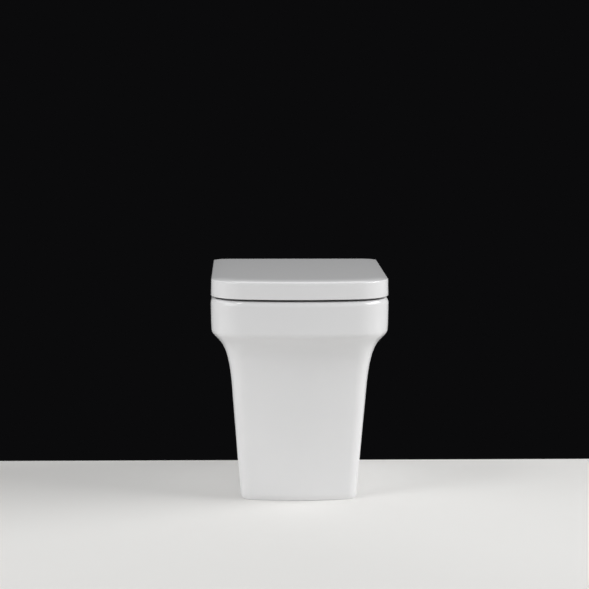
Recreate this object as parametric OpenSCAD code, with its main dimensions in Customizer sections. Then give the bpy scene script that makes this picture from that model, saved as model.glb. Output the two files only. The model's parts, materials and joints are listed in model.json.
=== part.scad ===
// Back to wall toilet: a hollow-cast ceramic pan with a soft-close, quick-release seat.
// Millimetres. The floor is z = 0, the wall is the plane y = +pan_d / 2, the front faces -Y,
// and the origin is the middle of the footprint on the floor.

/* [Pan outside] */
// Width of the pan across the rim
pan_w = 350; // [345:1:360]
// Projection of the pan from the wall
pan_d = 515; // [510:1:525]
// Height of the ceramic rim above the floor
pan_h = 415; // [410:1:420]
// Width of the foot on the floor
foot_w = 233; // [226:1:240]
// How far the front of the foot stands behind the front of the rim
foot_setback = 110; // [100:1:120]
// Thickness of the cast skirt
skirt_wall = 10; // [9:0.5:11]
// Radius on the outer edge of the rim
rim_edge_r = 6; // [4:0.5:8]

/* [Bowl and waterway] */
// Width of the rim opening
mouth_w = 236; // [230:1:240]
// Thickness of the bowl wall
bowl_wall = 10; // [9:0.5:11]
// Inside radius of the trap
trap_r = 38; // [36:0.5:39]
// Bend radius of the trap's centre line
trap_bend_r = 50; // [49:0.5:51]
// Depth of the water seal
water_seal = 50; // [48:1:52]
// Outside radius of the outlet spigot
spigot_r = 51; // [50:0.5:52]
// Inside radius of the outlet spigot
spigot_bore_r = 42; // [41:0.5:43]
// Height of the outlet's centre above the floor
outlet_z = 185; // [183:1:187]
// Inside radius of the flush inlet
inlet_r = 27.5; // [26:0.5:28]
// Height of the flush inlet's centre above the floor
inlet_z = 345; // [343:1:347]
// Number of rinsing holes under the rim
rinse_holes = 22; // [16:2:26]

/* [Seat and lid] */
// Length of the lid from the front of the pan
lid_l = 434; // [430:1:436]
// Height of the lid's top above the ceramic
lid_top = 40; // [40:0.5:42]
// Gap between the ceramic and the lid's skirt
lid_gap = 3; // [2.5:0.5:3.5]
// Thickness of the lid's skirt
lid_wall = 4; // [3.5:0.5:4]
// Thickness of the lid's top
lid_panel = 5; // [4.5:0.5:5]
// Height of the ring's underside above the ceramic, which is also the height of its buffers
ring_lift = 7; // [6.5:0.5:7]
// Thickness of the seat ring
ring_t = 18; // [17.5:0.5:18.5]
// Width of the opening in the seat ring
ring_mouth_w = 216; // [210:1:220]

/* [Hinges and fixings] */
// Height of the hinge axis above the ceramic
hinge_rise = 22; // [22:0.5:22.5]
// Distance from the hinge axis to the back edge of the lid
hinge_inset = 15; // [14:0.5:15]
// Spacing of the two seat fixing holes
fixing_spacing = 155; // [154:1:156]
// Radius of a seat fixing hole
fixing_hole_r = 7; // [6.8:0.1:7.2]
// Height of the side fixing holes above the floor
side_fix_z = 45; // [42:1:48]
// Distance of the side fixing holes from the wall
side_fix_back = 75; // [70:1:80]
// Radius of a side fixing hole
side_hole_r = 4; // [3.5:0.5:4.5]

/* [Hidden] */
$fn = 48;
eps = 0.01;

front_y = -pan_d / 2;
wall_y = pan_d / 2;
white = "#f2f2f0";
seat_white = "#f4f4f3";
steel = "#c9ccd0";
chrome = "#dfe3e8";
rubber = "#2c2c2e";
grey_plastic = "#b9bcc0";

// ---------------------------------------------------------------- outlines and lofts

bow_steps = 5;
corner_steps = 7;
back_steps = 2;

function arc(c, r, a0, a1, steps) =
    [for (i = [0:steps]) let (a = a0 + (a1 - a0) * i / steps) c + r * [cos(a), sin(a)]];

// Right half of a bow-fronted outline, from its front centre round to its back edge.
function bow_half(hw, front, back, bow_r, corner_r, back_r) =
    let (bow_c = [0, front + bow_r],
         reach = sqrt(pow(bow_r - corner_r, 2) - pow(hw - corner_r, 2)),
         corner_c = [hw - corner_r, bow_c.y - reach],
         join_a = atan2(-reach, corner_c.x),
         corner = arc(corner_c, corner_r, join_a, 0, corner_steps))
    concat(arc(bow_c, bow_r, -90, join_a, bow_steps),
           [for (i = [1:corner_steps]) corner[i]],
           arc([hw - back_r, back - back_r], back_r, 0, 90, back_steps));

function both_halves(half) =
    concat(half, [for (i = [len(half) - 1:-1:1]) [-half[i].x, half[i].y]]);

function bow_outline(hw, front, back, bow_r, corner_r, back_r = 2) =
    both_halves(bow_half(hw, front, back, bow_r, corner_r, back_r));

// Egg outline: a superellipse of power n whose front and back halves have their own lengths.
egg_steps = 36;
function bulge(v, n) = sign(v) * pow(abs(v), 2 / n);
function egg_outline(hw, front, back, waist, n) =
    [for (i = [0:egg_steps - 1]) let (a = (i + 0.5) * 360 / egg_steps, s = bulge(sin(a), n))
        [hw * bulge(cos(a), n), waist + (s < 0 ? waist - front : back - waist) * s]];

function at_z(outline, z) = [for (p = outline) [p.x, p.y, z]];

// Closed skin over rings with equal counts of points, each ring anticlockwise as seen from the next.
module loft(rings) {
    n = len(rings[0]);
    last = (len(rings) - 1) * n;
    polyhedron(
        points = [for (ring = rings) each ring],
        faces = concat(
            [[for (i = [0:n - 1]) i]],
            [for (j = [0:len(rings) - 2], i = [0:n - 1])
                let (a = j * n + i, b = j * n + (i + 1) % n) each [[a, a + n, b + n], [a, b + n, b]]],
            [[for (i = [n - 1:-1:0]) last + i]]));
}

// Tube of radius r along a centre line that lies in the plane x = 0 and is given as [y, z].
tube_steps = 24;
module tube(line, r) {
    last = len(line) - 1;
    loft([for (i = [0:last])
        let (d = line[min(i + 1, last)] - line[max(i - 1, 0)], t = d / norm(d))
        [for (k = [0:tube_steps - 1]) let (a = k * 360 / tube_steps)
            [r * cos(a), line[i].x + r * sin(a) * t.y, line[i].y - r * sin(a) * t.x]]]);
}

module mirrored_pair() {
    children();
    mirror([1, 0, 0]) children();
}

// Solid of revolution standing on its axis at [x, y, z] and turned to lie along +X.
module along_x(x, y, z) {
    translate([x, y, z]) rotate([0, 90, 0]) children();
}

// ---------------------------------------------------------------- pan

// Cubic between two knots, each [height, value, change of value for each mm up].
function knot_blend(z, a, b) =
    let (h = b[0] - a[0], u = (z - a[0]) / h, v = 1 - u)
    (1 + 2 * u) * v * v * a[1] + u * v * v * h * a[2] + u * u * (3 - 2 * u) * b[1] - u * u * v * h * b[2];

function profile(z, knots, i = 0) =
    z <= knots[i + 1][0] || i == len(knots) - 2 ? knot_blend(z, knots[i], knots[i + 1])
                                                : profile(z, knots, i + 1);

// The skirt's profile: an upright band, a short flare and a long taper to the foot.
band_z = pan_h - 63.5;
flare_top_z = band_z - 10.5;
flare_end_z = flare_top_z - 9;
waist_z = flare_end_z - 39;
taper_z = waist_z - 88;
rim_flat_z = pan_h - rim_edge_r;
foot_inset = (pan_w - foot_w) / 2;
side_slope = (foot_inset - 43.5) / taper_z;
front_slope = (foot_setback - 36) / waist_z;
flare_knots = [[flare_end_z, 15, -0.88], [flare_top_z, 6.7, -0.88], [band_z, 1.3, -0.05],
               [rim_flat_z, 0, -0.02]];
side_knots = concat([[0, foot_inset, -side_slope], [taper_z, 43.5, -side_slope],
                     [waist_z, 33.7, -0.22]], flare_knots);
front_knots = concat([[0, foot_setback, -front_slope],
                      [taper_z, foot_setback - taper_z * front_slope, -front_slope],
                      [waist_z, 36.5, -0.32]], flare_knots);

rim_bow_r = 600;
foot_bow_r = 345;
rim_corner_r = 76;
foot_corner_r = 28;

// Share of the way from the rim's plan to the foot's, used for the plan radii.
waist_mix = 0.75;
mix_knots = [[0, 1, (waist_mix - 1) / waist_z], [waist_z, waist_mix, (waist_mix - 1) / waist_z],
             [band_z, 0, 0]];
function plan_mix(z) = z > band_z ? 0 : profile(z, mix_knots);

// Plan of the skirt at height z, drawn in by a wall thickness.
function skirt_plan(z, wall = 0, back = wall_y) =
    let (h = max(z, 0), mix = plan_mix(h), inset = profile(h, side_knots))
    at_z(bow_outline(pan_w / 2 - inset - wall, front_y + profile(h, front_knots) + wall, back,
                     rim_bow_r + (foot_bow_r - rim_bow_r) * mix - wall,
                     rim_corner_r + (foot_corner_r - rim_corner_r) * mix - wall / 2), z);

function rim_round(a) =
    let (d = rim_edge_r * (1 - cos(a)))
    at_z(bow_outline(pan_w / 2 - d, front_y + d, wall_y, rim_bow_r - d, rim_corner_r - d),
         rim_flat_z + rim_edge_r * sin(a));

skirt_levels = [0, taper_z / 2, taper_z, taper_z + 30, taper_z + 60, waist_z, waist_z + 10,
                waist_z + 20, waist_z + 30, flare_end_z, flare_top_z, flare_top_z + 3.5,
                flare_top_z + 7, band_z, rim_flat_z];
deck_t = 14;
deck_under_z = pan_h - deck_t;

module pan_outside() {
    loft(concat([for (z = skirt_levels) skirt_plan(z)], [for (a = [30, 60, 90]) rim_round(a)]));
}

module pan_hollow() {
    levels = concat([-1], [for (z = skirt_levels) if (z > 0 && z < rim_flat_z) z], [deck_under_z]);
    loft([for (z = levels) skirt_plan(z, skirt_wall, wall_y + 1)]);
}

// The rim opening and the egg-shaped solids that follow it at an offset.
mouth_front = front_y + 49.5;
mouth_back = mouth_front + 296;
mouth_waist = mouth_front + 148;
function mouth_plan(grow) =
    egg_outline(mouth_w / 2 + grow, mouth_front - grow, mouth_back + grow, mouth_waist, 2.6);
module mouth_prism(grow, z0, z1) {
    loft([at_z(mouth_plan(grow), z0), at_z(mouth_plan(grow), z1)]);
}

// Box rim: a hollow channel round the mouth that carries the flush water.
rim_box_z = pan_h - 54;
channel_z = rim_box_z + 12;
channel_in = 9;
channel_out = 36;
rim_box_out = 48;

// Trap: down from the sump, under the dam, up to the weir and down again to the outlet.
dip_y = 0;
dip_z = outlet_z - 95;
rise_y = dip_y + trap_bend_r;
bend_z = dip_z + trap_bend_r;
weir_z = dip_z + 2 * trap_r + water_seal;
weir_y = rise_y + trap_bend_r;
drop_a = acos(1 - (weir_z - outlet_z) / (2 * trap_bend_r));
outlet_y = weir_y + 2 * trap_bend_r * sin(drop_a);
spigot_end_y = wall_y - 30;
trap_line = concat(
    [[dip_y - trap_bend_r, bend_z + 16]],
    arc([dip_y, bend_z], trap_bend_r, 180, 360, 12),
    arc([weir_y, weir_z - trap_bend_r], trap_bend_r, 180, 90 - drop_a, 9),
    [for (i = [1:4]) let (a = 270 - drop_a + drop_a * i / 4)
        [outlet_y, outlet_z + trap_bend_r] + trap_bend_r * [cos(a), sin(a)]],
    [[spigot_end_y - 40, outlet_z]]);

// Bowl, from the throat over the trap up to the rim box. Knots hold the reach from the throat's
// centre to the side, the front and the back.
throat_y = dip_y - trap_bend_r;
bowl_top_z = rim_box_z - 1;
bowl_side = [[bend_z, trap_r, 0.15], [bend_z + 60, 55, 0.5], [bend_z + 130, 100, 0.7],
             [bowl_top_z - 15, mouth_w / 2 + 23, 0.25], [bowl_top_z, mouth_w / 2 + 22, -0.1]];
bowl_front = [[bend_z, trap_r, 0.15], [bend_z + 60, 58, 0.75], [bend_z + 130, 125, 1.1],
              [bowl_top_z - 15, throat_y - mouth_front + 24, 0.35],
              [bowl_top_z, throat_y - mouth_front + 23, -0.1]];
bowl_back = [[bend_z, trap_r, 0.3], [bend_z + 60, 55, 0.7], [bend_z + 130, 108, 0.8],
             [bowl_top_z - 15, mouth_back - throat_y + 10, 0.25],
             [bowl_top_z, mouth_back - throat_y + 9, -0.1]];
bowl_rings = 9;

function bowl_ring(z, grow, drop = 0) =
    let (share = (z - bend_z) / (bowl_top_z - bend_z))
    at_z(egg_outline(profile(z, bowl_side) + grow, throat_y - profile(z, bowl_front) - grow,
                     throat_y + profile(z, bowl_back) + grow,
                     throat_y + (mouth_waist - throat_y) * share, 2 + 0.5 * share), z - drop);
function bowl_z(i) = bend_z + (bowl_top_z - bend_z) * i / bowl_rings;

// The mouth through the rim box, with its upper and lower lips rounded.
module mouth() {
    loft([at_z(mouth_plan(4), bowl_top_z - 1), at_z(mouth_plan(4), rim_box_z),
          at_z(mouth_plan(1.2), rim_box_z + 2.8), at_z(mouth_plan(0), rim_box_z + 7),
          at_z(mouth_plan(0), pan_h - 6), at_z(mouth_plan(1.7), pan_h - 1.7),
          at_z(mouth_plan(6), pan_h + eps)]);
}

module bowl_inside() {
    loft([for (i = [0:bowl_rings]) bowl_ring(bowl_z(i), 0)]);
    mouth();
}

// The outside is lowered a little as it widens, which keeps the wall even on the slopes.
module bowl_outside() {
    slope_drop = 3;
    loft(concat([for (i = [0:bowl_rings]) let (drop = min(i, slope_drop))
                    bowl_ring(bowl_z(i), bowl_wall - 1 + drop, drop)],
                [bowl_ring(bowl_top_z, bowl_wall, -slope_drop * 2)]));
}

// Chamber behind the bowl where the flush inlet meets the rim channel.
chamber_hw = 42;
chamber_y = [mouth_back + 20, mouth_back + 58];
chamber_floor_z = inlet_z - inlet_r;
horn_wall = 9;
horn_end_y = wall_y - 25;
horn_exact_y = chamber_y[1] + 24;
module chamber(grow) {
    translate([-chamber_hw - grow, chamber_y[0] - grow, chamber_floor_z - grow])
        cube([2 * (chamber_hw + grow), chamber_y[1] - chamber_y[0] + 2 * grow,
              deck_under_z - chamber_floor_z + grow + eps]);
}

module rinse_hole_ring() {
    plan = mouth_plan(channel_in + 6);
    for (i = [0:rinse_holes - 1]) {
        // A run of holes from one back corner round the front to the other.
        p = plan[round(egg_steps * (0.36 + 0.78 * i / (rinse_holes - 1))) % egg_steps];
        translate([p.x, p.y, rim_box_z - 3]) cylinder(r = 2.75, h = 18, $fn = 6);
    }
}

// The casting is drawn as the four forms that are stuck together before firing: the skirt with its
// deck, the bowl with its box rim, the trap, and the flush inlet. Their faces meet and never overlap.
module bowl_solid() {
    mouth_prism(rim_box_out, rim_box_z, deck_under_z);
    bowl_outside();
}

// What is open inside the joined forms.
module waterways() {
    difference() {
        mouth_prism(channel_out, channel_z, deck_under_z);
        mouth_prism(channel_in, channel_z - 1, pan_h);
    }
    bowl_inside();
    chamber(0);
    rinse_hole_ring();
    tube(trap_line, trap_r);
    tube([[chamber_y[1] - 5, inlet_z], [horn_exact_y, inlet_z]], inlet_r - 0.5);
}

module skirt_casting() {
    difference() {
        pan_outside();
        pan_hollow();
        mouth();
    }
}

module bowl_casting() {
    difference() {
        intersection() {
            bowl_solid();
            pan_hollow();
        }
        waterways();
    }
}

// The trap's own wall starts where the sump turns, so its upright end above the bend is cut off.
module trap_casting() {
    difference() {
        tube(trap_line, trap_r + bowl_wall - 1);
        translate([-pan_w / 2, throat_y - 60, bend_z]) cube([pan_w, 60 - throat_y + dip_y, pan_h]);
        bowl_solid();
        waterways();
    }
}

module inlet_casting() {
    difference() {
        union() {
            intersection() {
                chamber(horn_wall);
                pan_hollow();
            }
            tube([[chamber_y[1], inlet_z], [horn_exact_y + 4, inlet_z]], inlet_r + horn_wall - 1);
        }
        bowl_solid();
        waterways();
    }
}

hinge_y = front_y + lid_l - hinge_inset;
hinge_z = pan_h + hinge_rise;
side_fix_y = wall_y - side_fix_back;
side_face_x = pan_w / 2 - profile(side_fix_z, side_knots);
side_seat_x = side_face_x - 1.8;

module pan_skirt() {
    color(white) difference() {
        resize([pan_w, pan_d, pan_h]) skirt_casting();
        mirrored_pair() {
            translate([fixing_spacing / 2, hinge_y, deck_under_z - 1])
                cylinder(r = fixing_hole_r, h = deck_t + 2);
            along_x(side_seat_x - 20, side_fix_y, side_fix_z) cylinder(r = side_hole_r, h = 30);
            along_x(side_seat_x, side_fix_y, side_fix_z) cylinder(r = 11, h = 10);
        }
    }
}

// A size of zero leaves a form as large as it is drawn.
module pan_bowl() {
    color(white) resize([0, 0, deck_under_z - bend_z]) bowl_casting();
}

module pan_trap() {
    color(white) difference() {
        union() {
            resize([0, 0, 0]) trap_casting();
            translate([0, spigot_end_y, outlet_z]) rotate([90, 0, 0])
                cylinder(r = spigot_r, h = spigot_end_y - outlet_y + 2);
        }
        translate([0, spigot_end_y + 1, outlet_z]) rotate([90, 0, 0])
            cylinder(r = spigot_bore_r, h = 41);
        translate([0, spigot_end_y - 38, outlet_z]) rotate([90, 0, 0])
            cylinder(r = trap_r - 0.2, h = spigot_end_y - 38 - outlet_y + 4);
    }
}

module pan_inlet() {
    color(white) difference() {
        union() {
            resize([0, 0, 0]) inlet_casting();
            translate([0, horn_end_y, inlet_z]) rotate([90, 0, 0])
                cylinder(r = inlet_r + horn_wall, h = horn_end_y - chamber_y[1] + 2);
        }
        translate([0, horn_end_y + 1, inlet_z]) rotate([90, 0, 0])
            cylinder(r = inlet_r, h = horn_end_y + 1 - horn_exact_y + 10);
        translate([0, horn_exact_y, inlet_z]) rotate([90, 0, 0])
            cylinder(r = inlet_r - 0.7, h = horn_exact_y - chamber_y[1] + 4);
    }
}

// ---------------------------------------------------------------- floor fixings

bracket_x = side_face_x - 14.5;
bracket_foot_l = 40;
bracket_w = 36;
bracket_h = 62;
bracket_hole_x = bracket_x - 24;
screw_r = 2.5;

module bracket_profile() {
    difference() {
        translate([bracket_x - bracket_foot_l, 0]) square([bracket_foot_l, bracket_h]);
        translate([bracket_x - bracket_foot_l - 1, 4.5]) square([bracket_foot_l - 5, bracket_h]);
    }
}

module bracket_gusset() {
    polygon([[bracket_x - bracket_foot_l + 4, 4], [bracket_x - 5, 4], [bracket_x - 5, bracket_h - 6]]);
}

module floor_bracket() {
    difference() {
        union() {
            translate([0, side_fix_y + bracket_w / 2, 0]) rotate([90, 0, 0])
                linear_extrude(bracket_w) bracket_profile();
            for (y = [-bracket_w / 2, bracket_w / 2 - 4])
                translate([0, side_fix_y + y + 4, 0]) rotate([90, 0, 0])
                    linear_extrude(4) bracket_gusset();
            along_x(bracket_x - 14, side_fix_y, side_fix_z) cylinder(r = 7, h = 13);
        }
        along_x(bracket_x - 20, side_fix_y, side_fix_z) cylinder(r = screw_r, h = 25);
        translate([bracket_hole_x, side_fix_y, -1]) cylinder(r = 3.3, h = 10);
    }
}

module floor_bracket_left() {
    color(grey_plastic) mirror([1, 0, 0]) floor_bracket();
}

module floor_bracket_right() {
    color(grey_plastic) floor_bracket();
}

// Pan-head screw along X with a cross recess, seated on the flat beside the hole.
module side_screws() {
    head_r = 5.4;
    color(steel) mirrored_pair() along_x(0, side_fix_y, side_fix_z) difference() {
        rotate_extrude() polygon([[0, side_seat_x - 34], [1, side_seat_x - 34], [screw_r, side_seat_x - 30],
            [screw_r, side_seat_x], [head_r, side_seat_x], [head_r, side_seat_x + 1.4],
            [head_r - 1.6, side_seat_x + 2.8], [0, side_seat_x + 3.1]]);
        for (a = [0, 90]) rotate([0, 0, a])
            translate([-2.6, -0.5, side_seat_x + 1.2]) cube([5.2, 1, 4]);
    }
}

module side_screw_caps() {
    cap_r = 9.5;
    color(white) mirrored_pair() along_x(side_seat_x + 0.05, side_fix_y, side_fix_z)
        rotate_extrude() polygon(concat(
            [[0, 3.6], [6.2, 3.6], [6.2, 0], [cap_r, 0]],
            arc([cap_r - 3.5, 2.2], 3.5, 0, 60, 4), [[0, 5.9]]));
}

// ---------------------------------------------------------------- seat fixings

gasket_t = 1;
base_t = 1.6;
pillar_seat_z = pan_h + gasket_t + base_t;
pillar_r = 6;
pillar_h = 8.4;
groove_z = pillar_seat_z + 3;
groove_r = 5;
groove_h = 1.8;
stud_r = 3;
bung_bottom_z = deck_under_z - 14;

module at_fixings() {
    mirrored_pair() translate([fixing_spacing / 2, hinge_y, 0]) children();
}

module base_gaskets() {
    color(rubber) at_fixings() translate([0, 0, pan_h]) difference() {
        cylinder(r = 15.5, h = gasket_t);
        translate([0, 0, -1]) cylinder(r = 4, h = gasket_t + 2);
    }
}

module hinge_base() {
    translate([fixing_spacing / 2, hinge_y, pan_h + gasket_t])
        rotate_extrude() polygon([[stud_r + 0.3, 0], [16, 0], [16, base_t - 0.7],
                                  [15.3, base_t], [stud_r + 0.3, base_t]]);
}

module hinge_base_left() {
    color(chrome) mirror([1, 0, 0]) hinge_base();
}

module hinge_base_right() {
    color(chrome) hinge_base();
}

// Pillar with a catch groove and a hexagon socket, on a stud that pulls the bung tight.
module pillar_bolts() {
    color(steel) at_fixings() difference() {
        rotate_extrude() polygon([[0, bung_bottom_z - 16], [stud_r, bung_bottom_z - 16],
            [stud_r, pillar_seat_z], [pillar_r, pillar_seat_z], [pillar_r, groove_z],
            [groove_r, groove_z], [groove_r, groove_z + groove_h], [pillar_r, groove_z + groove_h],
            [pillar_r, pillar_seat_z + pillar_h - 1.2], [pillar_r - 1.2, pillar_seat_z + pillar_h],
            [0, pillar_seat_z + pillar_h]]);
        translate([0, 0, pillar_seat_z + pillar_h - 5]) cylinder(r = 2.9, h = 6, $fn = 6);
    }
}

// Rubber sleeve that swells under the deck when the nut is drawn up.
module expanding_bungs() {
    sleeve_r = fixing_hole_r - 0.1;
    color(rubber) at_fixings() rotate_extrude() polygon(concat(
        [[stud_r + 0.05, bung_bottom_z], [sleeve_r, bung_bottom_z]],
        arc([sleeve_r, deck_under_z - 7.2], 3.4, -80, 80, 6),
        [[sleeve_r, deck_under_z - 0.4], [sleeve_r, pan_h - 0.5], [stud_r + 0.05, pan_h - 0.5]]));
}

module bung_nuts() {
    color(grey_plastic) at_fixings() translate([0, 0, bung_bottom_z - 12]) difference() {
        union() {
            cylinder(r = 6.6, h = 12);
            translate([0, 0, 9]) cylinder(r = 8.5, h = 3);
            for (a = [0:60:300]) rotate([0, 0, a]) translate([6, -1, 0]) cube([2, 2, 9.5]);
        }
        translate([0, 0, -1]) cylinder(r = stud_r, h = 14);
    }
}

// ---------------------------------------------------------------- hinges

body_hw = 16;
barrel_r = 11.5;
damper_r = 6;
damper_l = 24;
pin_r = 3;
run = 0.05;
body_inner_x = fixing_spacing / 2 - body_hw;
body_outer_x = fixing_spacing / 2 + body_hw;
seat_ear_x = [body_outer_x + 1.5, body_outer_x + 19.5];
lid_ear_x = [body_inner_x - 18.5, body_inner_x - 1.5];
neck_z = pillar_seat_z + 0.2;
button_z = groove_z - 2;
button_h = 5;
button_inset = 6.2;
button_hw = 7;
wire_r = 0.6;
catch_r = groove_r + wire_r + 0.05;

module neck_plan() {
    hull() for (x = [-body_hw + 8, body_hw - 8], y = [-7, 5])
        translate([x, y]) circle(r = 4, $fn = 24);
}

// Hinge body: a neck that drops over the pillar and a barrel that holds the damper and the pin.
// The damper's bore opens towards +X here.
module hinge_body() {
    difference() {
        union() {
            translate([0, hinge_y, neck_z]) linear_extrude(hinge_z - neck_z) neck_plan();
            along_x(-body_hw, hinge_y, hinge_z) cylinder(r = barrel_r, h = 2 * body_hw);
        }
        translate([0, hinge_y, neck_z - 1])
            cylinder(r = pillar_r + run, h = pillar_seat_z + pillar_h - neck_z + 1.1);
        // Track for the catch: round the pillar, then forward along its two legs.
        translate([0, hinge_y, groove_z - 0.1]) {
            cylinder(r = pillar_r + 0.8, h = groove_h + 0.2);
            translate([-catch_r - 1, -button_inset - 1, 0])
                cube([2 * catch_r + 2, button_inset + 1, groove_h + 0.2]);
        }
        translate([-button_hw - 0.15, hinge_y - 12, button_z - 0.15])
            cube([2 * button_hw + 0.3, 12 - button_inset, button_h + 0.3]);
        along_x(body_hw - damper_l - 1, hinge_y, hinge_z) cylinder(r = damper_r, h = damper_l + 2);
        along_x(-body_hw - 1, hinge_y, hinge_z) cylinder(r = pin_r + run, h = 7);
    }
}

module hinge_body_left() {
    color(chrome) translate([-fixing_spacing / 2, 0, 0]) mirror([1, 0, 0]) hinge_body();
}

module hinge_body_right() {
    color(chrome) translate([fixing_spacing / 2, 0, 0]) mirror([1, 0, 0]) hinge_body();
}

// Rotary damper: a barrel held in the hinge body, with a bore for its own shaft.
module damper() {
    difference() {
        along_x(body_hw - damper_l, hinge_y, hinge_z) cylinder(r = damper_r - 0.02, h = damper_l);
        along_x(body_hw - 14, hinge_y, hinge_z) cylinder(r = pin_r + run, h = 15);
    }
}

module seat_damper() {
    color("#3a3a3c") translate([-fixing_spacing / 2, 0, 0]) mirror([1, 0, 0]) damper();
}

module lid_damper() {
    color("#3a3a3c") translate([fixing_spacing / 2, 0, 0]) mirror([1, 0, 0]) damper();
}

// Wire clip: half a turn in the pillar's groove and two legs that the button spreads.
module catch_springs() {
    color(steel) at_fixings() translate([0, 0, groove_z + groove_h / 2]) {
        rotate_extrude(angle = 180) translate([catch_r, 0]) circle(r = wire_r, $fn = 16);
        for (x = [-catch_r, catch_r])
            translate([x, 0, 0]) rotate([90, 0, 0]) cylinder(r = wire_r, h = 8.4, $fn = 16);
    }
}

// Push button in the front of the neck, with a rounded face.
module release_button() {
    translate([0, hinge_y, button_z]) linear_extrude(button_h) difference() {
        union() {
            translate([-button_hw, -11]) square([2 * button_hw, 2]);
            hull() {
                translate([-button_hw, -11.2]) square([2 * button_hw, 0.2]);
                for (x = [-1, 1]) translate([x * (button_hw - 2.5), -12.2]) circle(r = 2.2, $fn = 24);
            }
        }
        translate([0, 0]) circle(r = pillar_r + 3);
    }
}

module release_button_left() {
    color(grey_plastic) translate([-fixing_spacing / 2, 0, 0]) release_button();
}

module release_button_right() {
    color(grey_plastic) translate([fixing_spacing / 2, 0, 0]) release_button();
}

// ---------------------------------------------------------------- seat ring

ring_under_z = pan_h + ring_lift;
ring_top_z = ring_under_z + ring_t;
ring_hw = pan_w / 2 - lid_wall - 3;
ring_front = front_y + lid_wall + 3;
ring_back = hinge_y - 18.5;
ring_mouth_front = mouth_front + 10;
ring_mouth_back = mouth_back - 18;
buffer_spots = [[95, front_y + 52], [143, mouth_back - 28]];
buffer_stem_r = 3;
buffer_boss_r = 10;

function ring_plan(inset, z) =
    at_z(bow_outline(ring_hw - inset, ring_front + inset, ring_back - inset, rim_bow_r - 7 - inset,
                     rim_corner_r - 7 - inset, max(20 - inset, 2)), z);
function ring_mouth_plan(grow, z) =
    at_z(egg_outline(ring_mouth_w / 2 + grow, ring_mouth_front - grow, ring_mouth_back + grow,
                     mouth_waist, 2.5), z);

module ring_shell() {
    rib_z = ring_under_z - 1;
    roof_z = ring_top_z - 5.5;
    difference() {
        loft([ring_plan(1, ring_under_z), ring_plan(0, ring_under_z + 1.5), ring_plan(0, ring_top_z - 6),
              ring_plan(1.5, ring_top_z - 3), ring_plan(4.5, ring_top_z - 0.8), ring_plan(10, ring_top_z)]);
        loft([ring_mouth_plan(1, ring_under_z - 1), ring_mouth_plan(0, ring_under_z + 2),
              ring_mouth_plan(0, ring_under_z + 7), ring_mouth_plan(3, ring_top_z - 5.5),
              ring_mouth_plan(8, ring_top_z - 2), ring_mouth_plan(15, ring_top_z - 0.4),
              ring_mouth_plan(19, ring_top_z + 0.1)]);
        // The moulded underside is hollow, with an outer wall, an inner wall and buffer bosses.
        difference() {
            loft([ring_plan(5, rib_z), ring_plan(6, roof_z)]);
            loft([ring_mouth_plan(8, rib_z - 1), ring_mouth_plan(10, roof_z + 1)]);
            mirrored_pair() for (spot = buffer_spots)
                translate([spot.x, spot.y, rib_z - 1]) cylinder(r = buffer_boss_r, h = ring_t, $fn = 24);
            mirrored_pair() translate([seat_ear_x[0] - 4, ring_back - 22, rib_z - 1])
                cube([seat_ear_x[1] - seat_ear_x[0] + 8, 30, ring_t]);
            mirrored_pair() for (y = [front_y + 110, front_y + 190, front_y + 270])
                translate([ring_mouth_w / 2 - 30, y, rib_z - 1]) cube([pan_w / 2, 3, ring_t]);
        }
    }
}

// Side view of an ear: a round knuckle on an arm that reaches back from the ring.
module seat_ear_side() {
    circle(r = 10.5);
    polygon([[-24, ring_under_z + 3 - hinge_z], [-12, -10.4], [0, -10.5], [3, 9.6], [-6, 8.6],
             [-24, ring_top_z - 1.5 - hinge_z]]);
}

module seat_ring() {
    color(seat_white) difference() {
        union() {
            resize([2 * ring_hw, ring_back - ring_front, ring_t]) ring_shell();
            mirrored_pair() along_x(seat_ear_x[0], hinge_y, hinge_z) rotate([0, 0, 90])
                linear_extrude(seat_ear_x[1] - seat_ear_x[0]) seat_ear_side();
        }
        mirrored_pair() for (spot = buffer_spots) translate([spot.x, spot.y, ring_under_z - 1])
            cylinder(r = buffer_stem_r, h = 10);
        mirrored_pair() along_x(seat_ear_x[0] - 1, hinge_y, hinge_z)
            cylinder(r = pin_r + 0.01, h = 14);
    }
}

module seat_buffers() {
    pad_r = 9;
    color("#d9d9d6") mirrored_pair() for (spot = buffer_spots) translate([spot.x, spot.y, pan_h])
        rotate_extrude() polygon(concat([[0, 0]], arc([pad_r - 2, 2], 2, -90, 0, 4),
            [[pad_r, ring_lift], [buffer_stem_r, ring_lift], [buffer_stem_r, ring_lift + 8],
             [0, ring_lift + 8]]));
}

module seat_damper_shaft() {
    color(steel) along_x(-seat_ear_x[0] - 12.5, hinge_y, hinge_z)
        cylinder(r = pin_r, h = 12.5 + 1.5 + 13);
}

module seat_pin() {
    color(steel) along_x(body_outer_x - 5, hinge_y, hinge_z) cylinder(r = pin_r, h = 5 + 1.5 + 12.5);
}

// ---------------------------------------------------------------- lid

lid_under_z = pan_h + lid_gap;
lid_top_z = pan_h + lid_top;
lid_back = front_y + lid_l;
lid_hw = pan_w / 2 - 0.5;
panel_under_z = lid_top_z - lid_panel;
lid_swing_r = hinge_rise - 1.5;
back_gap_hw = seat_ear_x[1] + 3;

function lid_plan(inset, back_inset, z) =
    at_z(bow_outline(lid_hw - inset, front_y + 0.5 + inset, lid_back - back_inset, rim_bow_r - inset,
                     max(rim_corner_r - inset, 14), max(4 - back_inset / 2, 1)), z);

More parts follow.
